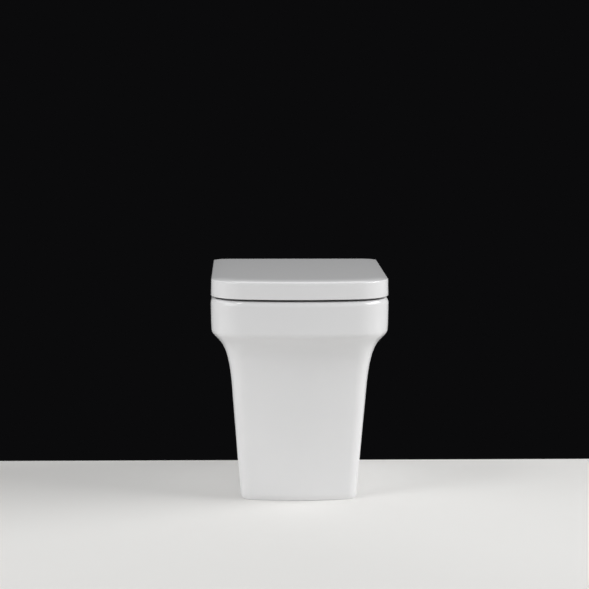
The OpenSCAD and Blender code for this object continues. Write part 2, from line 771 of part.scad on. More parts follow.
// A soft crown: the top falls away towards its front and side edges.
module lid_outside() {
    loft([lid_plan(0.6, 0, lid_under_z), lid_plan(0, 0, lid_under_z + 1.2), lid_plan(0.6, 0, lid_top_z - 5.6),
          lid_plan(1.2, 0.3, lid_top_z - 3.8), lid_plan(2.8, 1, lid_top_z - 2.6),
          lid_plan(8, 2.4, lid_top_z - 1.6), lid_plan(20, 5, lid_top_z - 0.6),
          lid_plan(40, 8, lid_top_z - 0.1), lid_plan(62, 11, lid_top_z)]);
}

module lid_inside() {
    loft([lid_plan(lid_wall, 3, lid_under_z - 1), lid_plan(lid_wall + 0.8, 3, panel_under_z - 5),
          lid_plan(lid_wall + 2.4, 3.2, panel_under_z - 1.5), lid_plan(lid_wall + 6, 4, panel_under_z)]);
}

module lid_shell() {
    difference() {
        lid_outside();
        lid_inside();
    }
    intersection() {
        lid_outside();
        // Bosses for the lid's buffers.
        mirrored_pair() translate([lid_buffer_spot.x, lid_buffer_spot.y, panel_under_z - 3])
            cylinder(r = 8, h = 5, $fn = 24);
    }
}

// Room round the hinges, and the rounded tail that lets the lid swing past the deck.
module lid_tail_cut() {
    tail = hinge_inset + 3;
    translate([-back_gap_hw, hinge_y + 9, lid_under_z - 2])
        cube([2 * back_gap_hw, tail, panel_under_z - lid_under_z + 2]);
    translate([-ring_hw - 1, hinge_y + 9, lid_under_z - 2])
        cube([2 * ring_hw + 2, tail, hinge_rise - 5]);
    translate([-pan_w / 2, hinge_y, hinge_z]) rotate([90, 0, 90]) linear_extrude(pan_w) difference() {
        translate([0, -40]) square([tail + 5, 40]);
        circle(r = lid_swing_r, $fn = 96);
    }
}

lid_buffer_spot = [128, front_y + 95];

module lid_ear_side() {
    circle(r = 10);
    polygon([[-10, 0], [10, 0], [11.5, panel_under_z + 1 - hinge_z], [-26, panel_under_z + 1 - hinge_z]]);
}

module lid() {
    color(seat_white) difference() {
        union() {
            difference() {
                resize([2 * lid_hw, lid_l - 0.5, lid_top - lid_gap]) lid_shell();
                lid_tail_cut();
            }
            mirrored_pair() along_x(lid_ear_x[0], hinge_y, hinge_z) rotate([0, 0, 90])
                linear_extrude(lid_ear_x[1] - lid_ear_x[0]) lid_ear_side();
        }
        mirrored_pair() along_x(lid_ear_x[0] + 3, hinge_y, hinge_z) cylinder(r = pin_r + 0.01, h = 20);
        mirrored_pair() translate([lid_buffer_spot.x, lid_buffer_spot.y, panel_under_z - 4])
            cylinder(r = buffer_stem_r, h = 6);
    }
}

module lid_buffers() {
    pad_r = 7;
    pad_h = panel_under_z - 3 - ring_top_z;
    color("#d9d9d6") mirrored_pair() translate([lid_buffer_spot.x, lid_buffer_spot.y, ring_top_z])
        rotate_extrude() polygon(concat([[0, 0]], arc([pad_r - 2, 2], 2, -90, 0, 4),
            [[pad_r, pad_h], [buffer_stem_r, pad_h], [buffer_stem_r, pad_h + 4.5], [0, pad_h + 4.5]]));
}

module lid_damper_shaft() {
    color(steel) along_x(lid_ear_x[0] + 4, hinge_y, hinge_z)
        cylinder(r = pin_r, h = body_inner_x + 13 - lid_ear_x[0] - 4);
}

module lid_pin() {
    color(steel) along_x(-body_inner_x - 5, hinge_y, hinge_z)
        cylinder(r = pin_r, h = body_inner_x - lid_ear_x[0] - 4 + 5);
}

// ---------------------------------------------------------------- drawing

pan_skirt();
pan_bowl();
pan_trap();
pan_inlet();
floor_bracket_left();
floor_bracket_right();
side_screws();
side_screw_caps();
base_gaskets();
hinge_base_left();
hinge_base_right();
pillar_bolts();
expanding_bungs();
bung_nuts();
hinge_body_left();
hinge_body_right();
seat_damper();
lid_damper();
catch_springs();
release_button_left();
release_button_right();
seat_ring();
seat_buffers();
seat_damper_shaft();
seat_pin();
lid();
lid_buffers();
lid_damper_shaft();
lid_pin();
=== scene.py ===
"""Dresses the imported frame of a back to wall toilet: glazed pan, soft-close seat, hinges and fixings."""

import json
import math
from functools import partial

import bmesh
import bpy
from bpy.props import FloatProperty, FloatVectorProperty, IntProperty, PointerProperty
from mathutils import Matrix, Vector


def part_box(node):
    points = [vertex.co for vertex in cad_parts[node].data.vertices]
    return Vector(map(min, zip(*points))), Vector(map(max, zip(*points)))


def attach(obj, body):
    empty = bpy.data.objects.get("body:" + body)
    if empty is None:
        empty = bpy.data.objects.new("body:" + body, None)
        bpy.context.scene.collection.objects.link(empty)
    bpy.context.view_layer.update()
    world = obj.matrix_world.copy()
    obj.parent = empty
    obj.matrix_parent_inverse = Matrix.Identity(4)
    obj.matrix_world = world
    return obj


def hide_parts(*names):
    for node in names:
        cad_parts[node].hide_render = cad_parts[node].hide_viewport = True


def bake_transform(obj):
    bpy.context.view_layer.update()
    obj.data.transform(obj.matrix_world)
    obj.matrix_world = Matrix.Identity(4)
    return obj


bl_info = {
    "name": "Back to Wall Toilet",
    "version": (1, 0, 0),
    "blender": (4, 5, 0),
    "location": "View3D > Sidebar > Toilet",
    "description": "Builds the glazed pan, the seat and the fittings over the packed frame",
    "category": "Object",
}

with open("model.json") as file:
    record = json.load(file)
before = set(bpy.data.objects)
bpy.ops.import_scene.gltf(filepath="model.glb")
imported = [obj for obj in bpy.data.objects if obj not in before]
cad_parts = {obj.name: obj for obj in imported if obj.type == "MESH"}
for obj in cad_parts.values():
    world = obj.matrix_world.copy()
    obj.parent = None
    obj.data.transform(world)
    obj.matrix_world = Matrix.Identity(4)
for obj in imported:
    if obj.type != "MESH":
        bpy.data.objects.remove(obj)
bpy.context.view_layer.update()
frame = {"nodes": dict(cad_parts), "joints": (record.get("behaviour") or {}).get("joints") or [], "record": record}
PAN_LOW, PAN_HIGH = (Vector(corner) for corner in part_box("pan_skirt"))
RING_LOW, RING_HIGH = (Vector(corner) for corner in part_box("seat_ring"))
LID_LOW, LID_HIGH = (Vector(corner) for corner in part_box("lid"))
MM = 0.001
HINGE = Vector(next(j for j in frame["joints"] if j["name"] == "seat_lift")["pos_m"])
HINGE_Y, HINGE_Z = HINGE.y / MM, HINGE.z / MM
CRISP, SHARP = 32.0, 50  # degrees between faces from which an edge stays crisp, and is rounded
BODY_OF = {node: body for body, nodes in frame["record"]["behaviour"]["bodies"].items() for node in nodes}
FRONT, WALL, HALF, RIM = PAN_LOW.y / MM, PAN_HIGH.y / MM, PAN_HIGH.x / MM, PAN_HIGH.z / MM


# ---------------- outlines, in millimetres


def arc(centre, radius, start, end, count):
    """Points along an arc in plan, with its angles in degrees."""
    turns = [math.radians(start + (end - start) * i / count) for i in range(count + 1)]
    return [(centre[0] + radius * math.cos(a), centre[1] + radius * math.sin(a)) for a in turns]


def bow_half(half_width, front, back, bow, corner, back_corner=0.0):
    """Right half of a bow-fronted plan, from the middle of its front round to its back edge."""
    side_steps, back_steps = 12, 14
    bow_centre = front + bow
    reach = math.sqrt((bow - corner) ** 2 - (half_width - corner) ** 2)
    corner_centre = (half_width - corner, bow_centre - reach)
    join = math.degrees(math.atan2(-reach, corner_centre[0]))
    points = arc((0, bow_centre), bow, -90, join, 18)
    points += arc(corner_centre, corner, join, 0, 18)[1:]
    end = back - back_corner
    points += [(half_width, corner_centre[1] + (end - corner_centre[1]) * i / side_steps)
               for i in range(1, side_steps + 1)]
    if back_corner:
        points += arc((half_width - back_corner, end), back_corner, 0, 90, 6)[1:]
        points += [((half_width - back_corner) * (1 - i / back_steps), back)
                   for i in range(1, back_steps + 1)]
    return points


def bow_strip(*sizes):
    """The whole front and both sides of a bow-fronted plan, open at its back."""
    half = bow_half(*sizes)
    return [(-x, y) for x, y in reversed(half[1:])] + half


def bow_loop(*sizes):
    """A bow-fronted plan closed across its back, which needs a back corner radius."""
    half = bow_half(*sizes)
    return half + [(-x, y) for x, y in reversed(half[1:-1])]


def quarter(width, height, count, backward=False):
    """Points (across, up) of a quarter of an ellipse, from its upright start to its level end."""
    turns = [math.radians(90 * i / count) for i in range(count + 1)]
    points = [(width * (1 - math.cos(t)), height * math.sin(t)) for t in turns]
    return points[::-1] if backward else points


def bulge(value, power):
    return math.copysign(abs(value) ** (2 / power), value)


def around():
    """Evenly spaced angles round a circle, none of them on an axis."""
    count = 160
    return [math.tau * (i + 0.5) / count for i in range(count)]


def egg(half_width, front, back, waist, power):
    """A superellipse whose front and back halves have their own lengths."""
    points = []
    for a in around():
        s = bulge(math.sin(a), power)
        points.append((half_width * bulge(math.cos(a), power),
                       waist + (waist - front if s < 0 else back - waist) * s))
    return points


def egg_on_rays(plan, half_width, front, back, waist, power):
    """The same egg, with its corners on the lines from its waist to the points of another plan."""
    points = []
    for x, y in plan:
        length = math.hypot(x, y - waist)
        c, s = x / length, (y - waist) / length
        depth = waist - front if s < 0 else back - waist
        reach = (abs(c / half_width) ** power + abs(s / depth) ** power) ** (-1 / power)
        points.append((reach * c, waist + reach * s))
    return points


def knots(height, table):
    """Cubic through [height, value, change per mm] knots."""
    i = 0
    while i < len(table) - 2 and height > table[i + 1][0]:
        i += 1
    (z0, a, sa), (z1, b, sb) = table[i], table[i + 1]
    h = z1 - z0
    u = (height - z0) / h
    v = 1 - u
    return (1 + 2 * u) * v * v * a + u * v * v * h * sa + u * u * (3 - 2 * u) * b - u * u * v * h * sb


def steps(low, high, size):
    """Evenly spaced values from low to high, no further apart than size."""
    n = max(1, math.ceil(abs(high - low) / size))
    return [low + (high - low) * i / n for i in range(n + 1)]


# ---------------- bmesh helpers


def start_ring(bm, points, closed=True):
    """A circle whose corners are moved to the points; an open one loses its last edge."""
    verts = bmesh.ops.create_circle(bm, segments=len(points), radius=1)["verts"]
    for v, p in zip(verts, points):
        v.co = p
    if not closed:
        bmesh.ops.delete(bm, geom=[bm.edges.get((verts[-1], verts[0]))], context="EDGES")
    return verts


def ring_edges(bm, verts, closed=True):
    """The edges between neighbours in a ring or a strip of corners."""
    pairs = zip(verts, verts[1:] + verts[:1] if closed else verts[1:])
    return [bm.edges.get(pair) for pair in pairs]


def loft(bm, rings, closed=True):
    """Extrudes the first ring through all the others and returns the corners of each."""
    rows = [start_ring(bm, rings[0], closed)]
    for points in rings[1:]:
        old = rows[-1]
        made = bmesh.ops.extrude_edge_only(bm, edges=ring_edges(bm, old, closed))["geom"]
        before = set(old)
        partner = {e.other_vert(v): v for v in made if isinstance(v, bmesh.types.BMVert)
                   for e in v.link_edges if e.other_vert(v) in before}
        rows.append([partner[v] for v in old])
        for v, p in zip(rows[-1], points):
            v.co = p
    return rows


def at(points, z):
    return [(x, y, z) for x, y in points]


def turn_out(bm):
    """Makes all faces agree, then turns them so that the highest one looks up."""
    bmesh.ops.recalc_face_normals(bm, faces=bm.faces)
    if max(bm.faces, key=lambda f: f.calc_center_median().z).normal.z <= 0:
        bmesh.ops.reverse_faces(bm, faces=bm.faces)


def put(name, bm):
    """Puts a mesh worked in millimetres into the scene as an object at the origin."""
    bmesh.ops.scale(bm, vec=(MM, MM, MM), verts=bm.verts)
    mesh = bpy.data.meshes.new(name)
    bm.to_mesh(mesh)
    bm.free()
    obj = bpy.data.objects.new(name, mesh)
    bpy.context.scene.collection.objects.link(obj)
    return obj


def shade(mesh, sharp):
    """Smooth shading that stays crisp where faces meet at more than this many degrees."""
    mesh.shade_smooth()
    mesh.set_sharp_from_angle(angle=math.radians(sharp))


def make(name, bm, slot, body, replaced=(), closed=True, sharp=CRISP):
    """Makes a mesh worked in millimetres a piece of the toilet."""
    if closed:
        bmesh.ops.recalc_face_normals(bm, faces=bm.faces)
    obj = put(name, bm)
    shade(obj.data, sharp)
    obj.data.materials.append(material_for(slot))
    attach(obj, body)
    if replaced:
        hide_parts(*replaced)
    return obj


def settle(obj):
    """Turns a piece's modifiers into its mesh."""
    bpy.context.view_layer.update()
    graph = bpy.context.evaluated_depsgraph_get()
    mesh = bpy.data.meshes.new_from_object(obj.evaluated_get(graph), depsgraph=graph)
    mesh.name = obj.name
    obj.modifiers.clear()
    obj.data = mesh
    shade(mesh, CRISP)


def thicken(obj, name, thickness, inner_material=0):
    """Gives a skin an even wall on its inner side."""
    wall = obj.modifiers.new(name, "SOLIDIFY")
    wall.thickness = thickness
    wall.offset = -1
    wall.use_even_offset = True
    wall.use_quality_normals = True
    wall.material_offset = wall.material_offset_rim = inner_material
    settle(obj)


def cutter(bm):
    """A loose solid, worked in millimetres, for carve()."""
    bmesh.ops.recalc_face_normals(bm, faces=bm.faces)
    return put("cutter", bm)


def carve(obj, *tools):
    """Cuts loose solids out of a piece and throws them away."""
    for tool in tools:
        cut = obj.modifiers.new("cut", "BOOLEAN")
        cut.operation = "DIFFERENCE"
        cut.solver = "MANIFOLD"
        cut.object = tool
    settle(obj)
    for tool in tools:
        bpy.data.objects.remove(tool, do_unlink=True)


def block(bm, low, high):
    """A box between two corners."""
    low, high = Vector(low), Vector(high)
    place = Matrix.Translation((low + high) / 2) @ Matrix.Diagonal((*(high - low), 1))
    return bmesh.ops.create_cube(bm, size=1, matrix=place)["verts"]


def bevel(bm, edges, width, segments):
    bmesh.ops.bevel(bm, geom=edges, offset=width, segments=segments, profile=0.5, affect="EDGES", material=-1)


def bevel_all(bm, verts, width, segments):
    """Rounds every edge at these corners."""
    bevel(bm, list({e for v in verts for e in v.link_edges}), width, segments)


def soften(bm, width):
    """Rounds every sharp edge."""
    sharp = [e for e in bm.edges if len(e.link_faces) == 2 and e.calc_face_angle(0) > math.radians(SHARP)]
    bevel(bm, sharp, width, 3)


def spun(bm, profile, centre, axis, segments):
    """Turns an open or closed run of (radius, along) points round an axis through centre."""
    axis = Vector(axis).normalized()
    side = axis.orthogonal().normalized()
    verts = [bm.verts.new(Vector(centre) + side * r + axis * h) for r, h in profile]
    edges = [bm.edges.new(pair) for pair in zip(verts, verts[1:])]
    bmesh.ops.spin(bm, geom=verts + edges, cent=centre, axis=axis, angle=math.tau,
                   steps=segments, use_merge=True, use_duplicate=False)
    bmesh.ops.remove_doubles(bm, verts=bm.verts, dist=0.001)


# ---------------- materials

NOISE, CELLS = "TexNoise", "TexVoronoi"
CLOUDING = 0.985  # how much darker a white surface is where its colour clouds


def linear(hex_code):
    """An sRGB hex value as a linear colour."""
    parts = [int(hex_code[i:i + 2], 16) / 255 for i in (1, 3, 5)]
    return tuple(c / 12.92 if c <= 0.04045 else ((c + 0.055) / 1.055) ** 2.4 for c in parts)


def clouded(color):
    """The darker and the lighter colour of a white surface with faint clouds."""
    return [c * CLOUDING for c in color], color


def add(tree, kind, inputs=None, **settings):
    """Adds a shader node, sets it, and fills its inputs or links them to a socket or a node's main output."""
    node = tree.nodes.new("ShaderNode" + kind)
    for name, value in settings.items():
        setattr(node, name, value)
    for name, value in (inputs or {}).items():
        if isinstance(value, bpy.types.Node):
            value = next(output for output in value.outputs if output.enabled)
        if isinstance(value, bpy.types.NodeSocket):
            tree.links.new(value, node.inputs[name])
        else:
            node.inputs[name].default_value = value
    return node


def surface(name, patterns, color, gloss, relief=(), **shader):
    """A material whose colour, gloss and relief follow patterns laid on Object coordinates.

    A pattern is a texture, its size in millimetres, its inputs and, where it is drawn out, its scale along
    x, y and z. The colour takes a pattern and two colours, as hex values or linear, the gloss a pattern and
    two values of roughness, and each relief a pattern and its depth in millimetres.
    """
    material = bpy.data.materials.new(name)
    material.use_nodes = True
    tree = material.node_tree
    tree.nodes.clear()
    place = add(tree, "TexCoord").outputs["Object"]
    drawn = {}
    for label, (texture, size, inputs, *scale) in patterns.items():
        along = add(tree, "Mapping", {"Vector": place, "Scale": scale[0]}) if scale else place
        drawn[label] = add(tree, texture, {"Vector": along, "Scale": 1 / (size * MM), **inputs})
    label, *tones = color
    dark, light = ((*(linear(tone) if isinstance(tone, str) else tone), 1) for tone in tones)
    shader["Base Color"] = add(tree, "Mix", {"Factor": drawn[label], "A": dark, "B": light},
                               data_type="RGBA")
    label, low, high = gloss
    shader["Roughness"] = add(tree, "MapRange", {"Value": drawn[label], "To Min": low, "To Max": high})
    for label, depth in relief:
        below = {"Normal": shader["Normal"]} if "Normal" in shader else {}
        shader["Normal"] = add(tree, "Bump", {"Height": drawn[label], "Distance": depth * MM,
                                              "Strength": 1, **below})
    add(tree, "OutputMaterial", {"Surface": add(tree, "BsdfPrincipled", shader)})
    return material


def vitreous_china(glaze):
    """Vitreous china, slip cast, sprayed with opaque white glaze and fired: deep, glassy gloss."""
    # The glaze pools by a few hundredths of a millimetre over 60 mm, which clouds its white a little.
    # Spraying leaves orange peel about 5 mm across, on slower waves of the cast wall.
    patterns = {"pool": (NOISE, 60, {"Detail": 3}), "cloud": (NOISE, 25, {"Detail": 2}),
                "peel": (NOISE, 5.5, {"Detail": 1}), "wave": (NOISE, 38, {"Detail": 1})}
    return surface("vitreous_china", patterns, ("pool", *clouded(glaze)), ("cloud", 0.055, 0.085),
                   [("peel", 0.012), ("wave", 0.10)], IOR=1.52)


def unglazed_china():
    """The same china where no glaze reaches, inside the skirt and on the foot: cream, matt and dusty."""
    # Slip leaves grains and sponge marks of about 2 mm.
    patterns = {"dust": (NOISE, 9, {"Detail": 4}), "grain": (NOISE, 2, {"Detail": 4})}
    return surface("unglazed_china", patterns, ("dust", "#DDD6C8", "#E9E3D7"),
                   ("grain", 0.70, 0.85), [("grain", 0.08)], IOR=1.50)


def moulded_thermoset(plastic):
    """Urea thermoset seat, pressed in a polished mould and buffed: dense, hard and glossy."""
    # The powder flows across the mould, which leaves clouds twice as long that way. Buffing leaves waves
    # of about 18 mm, far shallower than a glaze's.
    patterns = {"flow": (NOISE, 45, {"Detail": 3}, (1, 0.5, 1)), "wheel": (NOISE, 12, {"Detail": 3}),
                "wave": (NOISE, 18, {"Detail": 1})}
    return surface("moulded_thermoset", patterns, ("flow", *clouded(plastic)), ("wheel", 0.09, 0.13),
                   [("wave", 0.012)], IOR=1.54)


def polished_chrome():
    """Chrome plate on die-cast zinc, polished: bright, with faint polishing haze about 3 mm across."""
    patterns = {"haze": (NOISE, 3, {"Detail": 4}), "cast": (NOISE, 5, {"Detail": 2})}
    return surface("polished_chrome", patterns, ("haze", "#D4D6D9", "#E2E3E5"),
                   ("haze", 0.05, 0.11), [("cast", 0.004)], Metallic=1)


def turned_stainless():
    """Stainless steel, turned: fine rings round the bar, drawn 0.4 mm apart so that they show."""
    patterns = {"rings": (NOISE, 0.4, {"Detail": 2}, (1, 0.04, 0.04))}
    return surface("turned_stainless", patterns, ("rings", "#B9BBBE", "#CDCED0"),
                   ("rings", 0.22, 0.34), [("rings", 0.006)], Metallic=1)


def drawn_spring_wire():
    """Spring steel wire, drawn: darker, with streaks about 0.6 mm wide."""
    patterns = {"streaks": (NOISE, 0.6, {"Detail": 3})}
    return surface("drawn_spring_wire", patterns, ("streaks", "#8C8E92", "#A7A9AC"),
                   ("streaks", 0.25, 0.38), Metallic=1)


def zinc_plate():
    """Bright zinc plate on a pressed screw: cool grey with small cloudy spangles of about 1.5 mm."""
    return surface("zinc_plate", {"spangle": (CELLS, 1.5, {})},
                   ("spangle", "#A9ADB2", "#C3C7CB"), ("spangle", 0.24, 0.36), Metallic=1)


def moulded_nylon():
    """Nylon, injection moulded grey: satin, with the mould's spark-eroded grain of about 0.5 mm."""
    patterns = {"flow": (NOISE, 14, {"Detail": 3}), "grain": (NOISE, 0.5, {"Detail": 2})}
    return surface("moulded_nylon", patterns, ("flow", "#8A8D91", "#96999D"),
                   ("grain", 0.42, 0.56), [("grain", 0.02)], IOR=1.53)


def moulded_acetal():
    """Black acetal damper barrels: smooth, with a waxy sheen and faint flow lines about 4 mm apart."""
    patterns = {"flow": (NOISE, 4, {"Detail": 3}, (0.3, 1, 1))}
    return surface("moulded_acetal", patterns, ("flow", "#1D1D1F", "#29292B"),
                   ("flow", 0.30, 0.40), [("flow", 0.01)], IOR=1.48)


def satin_abs():
    """Grey ABS push buttons with a fine satin texture of about 0.4 mm."""
    patterns = {"flow": (NOISE, 6, {"Detail": 2}), "grain": (NOISE, 0.4, {"Detail": 2})}
    return surface("satin_abs", patterns, ("flow", "#A6A9AD", "#B0B3B6"),
                   ("grain", 0.28, 0.38), [("grain", 0.012)], IOR=1.54)


def moulded_epdm():
    """Black EPDM rubber, moulded: matt, with a pale bloom in patches of about 3 mm."""
    patterns = {"bloom": (NOISE, 3, {"Detail": 4, "Roughness": 0.6})}
    return surface("moulded_epdm", patterns, ("bloom", "#1C1C1D", "#2E2E30"),
                   ("bloom", 0.62, 0.82), [("bloom", 0.02)], IOR=1.50)


def soft_buffer_rubber():
    """Soft off-white thermoplastic rubber of the seat's and lid's buffers: satin, with fine grain."""
    patterns = {"flow": (NOISE, 4, {"Detail": 2}), "grain": (NOISE, 0.8, {"Detail": 3})}
    return surface("soft_buffer_rubber", patterns, ("flow", "#D2D1CC", "#DCDBD6"),
                   ("grain", 0.45, 0.60), [("grain", 0.015)], IOR=1.49)


def matt_floor_paint(paint):
    """Pale studio floor, rolled with matt paint: no gloss, with clouds about 220 mm across."""
    patterns = {"roller": (NOISE, 220, {"Detail": 3})}
    return surface("matt_floor_paint", patterns, ("roller", *clouded(paint)), ("roller", 0.9, 0.9))


MATERIALS = {}


def material_for(slot):
    """Makes each slot's material once."""
    scene = bpy.context.scene
    makers = {
        "vitreous_china": lambda: vitreous_china(scene.toilet_pan.glaze),
        "unglazed_china": unglazed_china,
        "thermoset_white": lambda: moulded_thermoset(scene.toilet_seat.plastic),
        "cap_white": lambda: moulded_thermoset(scene.toilet_seat.plastic),
        "soft_buffer": soft_buffer_rubber,
        "black_rubber": moulded_epdm,
        "moulded_nut": moulded_nylon,
        "bracket_plastic": moulded_nylon,
        "zinc_plated_steel": zinc_plate,
        "stainless_steel": turned_stainless,
        "spring_steel": drawn_spring_wire,
        "hinge_chrome": polished_chrome,
        "damper_plastic": moulded_acetal,
        "button_grey": satin_abs,
    }
    if slot not in MATERIALS:
        MATERIALS[slot] = makers[slot]()
    return MATERIALS[slot]


def polish(name, node, edge=0.3, half=0):
    """A merged copy of a CAD node with smooth curved faces and, in millimetres, softened edges.
    A half of -1 or 1 keeps only what lies on the left or on the right."""
    bm = bmesh.new()
    bm.from_mesh(frame["nodes"][node].data)
    if half:
        bmesh.ops.delete(bm, geom=[v for v in bm.verts if v.co.x * half < 0], context="VERTS")
    bmesh.ops.scale(bm, vec=(1 / MM, 1 / MM, 1 / MM), verts=bm.verts)
    bmesh.ops.remove_doubles(bm, verts=bm.verts, dist=0.002)
    bmesh.ops.dissolve_limit(bm, angle_limit=math.radians(1), verts=bm.verts, edges=bm.edges)
    sub = next(s for s in frame["record"]["subparts"] if s["node"] == node)
    obj = make(name, bm, sub["material_slot"], BODY_OF[node], replaced=[node])
    if edge:
        soft = obj.modifiers.new("soft edges", "BEVEL")
        soft.width = edge * MM
        soft.segments = 2
        soft.limit_method = "ANGLE"
        soft.angle_limit = math.radians(SHARP)
        settle(obj)
    return obj


# ---------------- settings

Length = partial(FloatProperty, unit="LENGTH")
Power = partial(FloatProperty, unit="POWER")
Colour = partial(FloatVectorProperty, subtype="COLOR")


class ToiletPanSettings(bpy.types.PropertyGroup):
    """Sizes and colour of the ceramic pan."""
    wall: Length(name="Wall", description="Thickness of the cast wall", default=0.010)
    rim_edge: Length(name="Rim edge", description="How far in the rim's outer edge is rounded", default=0.007)
    rim_fall: Length(name="Rim fall", description="How far down the rim's outer edge is rounded",
                     default=0.012)
    foot_width: Length(name="Foot width", description="Width of the foot on the floor", default=0.233)
    foot_setback: Length(name="Foot setback", description="How far the foot stands behind the rim",
                         default=0.110)
    mouth_width: Length(name="Mouth width", description="Width of the rim opening", default=0.236)
    mouth_length: Length(name="Mouth length", description="Length of the rim opening", default=0.296)
    rinse_holes: IntProperty(name="Rinsing holes", description="Holes under the rim", default=22, min=4)
    glaze: Colour(name="Glaze", description="Colour of the fired glaze", default=linear("#ECECED"))


class ToiletSeatSettings(bpy.types.PropertyGroup):
    """Sizes and colour of the seat ring and the lid."""
    lid_wall: Length(name="Lid wall", description="Thickness of the lid's moulding", default=0.0045)
    lid_edge: Length(name="Lid edge", description="Radius on the lid's top edge", default=0.0035)
    lid_crown: Length(name="Lid crown", description="Height of the lid's crown", default=0.0024)
    ring_wall: Length(name="Ring wall", description="Thickness of the ring's moulding", default=0.0045)
    plastic: Colour(name="Plastic", description="Colour of the seat and lid", default=linear("#EDEDEE"))


class ToiletStageSettings(bpy.types.PropertyGroup):
    """Floor and lamps of the studio."""
    floor: Colour(name="Floor", description="Colour of the floor", default=linear("#E9E8E6"))
    ambient: FloatProperty(name="Ambient light", description="Strength of the even light from all round",
                           default=0.25, min=0)
    key_light: Power(name="Key lamp", description="Power of the small lamp high on the left", default=10.5)
    left_light: Power(name="Left lamp", description="Power of the soft lamp in front on the left",
                      default=9.8)
    left_side_light: Power(name="Left side lamp", description="Power of the lamp beside the left side",
                           default=5.8)
    right_light: Power(name="Right lamp", description="Power of the wide lamp on the right", default=39.5)
    back_light: Power(name="Back lamp", description="Power of the lamp behind", default=8.2)
    foot_light: Power(name="Foot lamp", description="Power of the low lamp aimed at the foot", default=0.11)


# ---------------- pan

RIM_BOW, RIM_CORNER = 600, 76  # radii of the rim's front and of its corners
FOOT_BOW, FOOT_CORNER = 345, 28  # the same at the foot
TAPER_TOP, FLARE_LOW, FLARE_TOP = RIM - 210, RIM - 122, RIM - 63.5  # heights where the skirt's line turns
DECK_UNDER = RIM - 14
MOUTH_WAIST, MOUTH_POWER = FRONT + 197.5, 2.6  # where the mouth is widest, and how square it is
THROAT, BEND, BOWL_TOP = -50.0, 140.0, RIM - 55  # the throat's place, its height, and the bowl's top
TRAP_BORE, TRAP_TURN = 38, 50  # radii of the trap's way and of its bends
OUTLET, INLET = 185.0, 345.0  # heights of the two ways behind
FIXING = 77.5  # from the middle to a seat fixing hole
SCREW_DEPTH, SCREW_HEIGHT = 75, 45  # a side screw, from the wall and from the floor
CHANNEL_FRONT = 43  # how far the rim channel may reach in front of the mouth
ROOM, ROOM_DEPTH, CASTING = 42, 38, 9  # the inlet chamber: half its width, its depth and its wall
ROOM_FLOOR, ROOM_TOP = INLET - 27.5, DECK_UNDER + 6


def skirt_tables(settings):
    """Knots for how far the side and the front of the skirt stand inside the rim."""
    flare = [(RIM - 83, 15, -0.88), (RIM - 74, 6.7, -0.88), (FLARE_TOP, 1.3, -0.05), (RIM - 6, 0, -0.02)]
    foot = HALF - settings.foot_width / MM / 2
    taper = 43.5
    slope = (foot - taper) / TAPER_TOP
    setback = settings.foot_setback / MM
    lean = (setback - 36) / FLARE_LOW
    side = [(0, foot, -slope), (TAPER_TOP, taper, -slope), (FLARE_LOW, 33.7, -0.22)] + flare
    front = [(0, setback, -lean), (TAPER_TOP, setback - TAPER_TOP * lean, -lean),
             (FLARE_LOW, 36.5, -0.32)] + flare
    return side, front


def skirt_row(z, side, front, more=0.0):
    """One level of the skirt: its plan turns from the foot's to the rim's on the way up."""
    kept = 0.75
    fall = (kept - 1) / FLARE_LOW
    foot = knots(z, [(0, 1, fall), (FLARE_LOW, kept, fall), (FLARE_TOP, 0, 0)]) if z < FLARE_TOP else 0.0
    bow = RIM_BOW + (FOOT_BOW - RIM_BOW) * foot
    corner = RIM_CORNER + (FOOT_CORNER - RIM_CORNER) * foot
    return at(bow_strip(HALF - knots(z, side) - more, FRONT + knots(z, front) + more, WALL, bow, corner), z)


def skirt_rows(settings):
    """The skirt from a softened foot up, over the rounded rim edge and on to the deck."""
    side, front = skirt_tables(settings)
    edge, fall = settings.rim_edge / MM, settings.rim_fall / MM
    rows = [skirt_row(0, side, front, 1.2), skirt_row(0.35, side, front, 0.5)]
    band = RIM - 62
    levels = steps(1.2, FLARE_LOW, 12) + steps(FLARE_LOW, band, 4)[1:] + steps(band, DECK_UNDER, 8)[1:]
    rows += [skirt_row(z, side, front) for z in levels + [RIM - fall]]
    for inset, up in quarter(edge, fall, 10)[1:] + [(edge + 1.2, fall)]:
        rows.append(at(bow_strip(HALF - inset, FRONT + inset, WALL, RIM_BOW - inset, RIM_CORNER - inset),
                       RIM - fall + up))
    return rows


def mouth_size(settings):
    """Half the mouth's width, then its front and its back."""
    reach = settings.mouth_length / MM / 2
    return settings.mouth_width / MM / 2, MOUTH_WAIST - reach, MOUTH_WAIST + reach


def mouth_plan(settings, grow):
    """The mouth's outline, let out by grow."""
    half, front, back = mouth_size(settings)
    return egg(half + grow, front - grow, back + grow, MOUTH_WAIST, MOUTH_POWER)


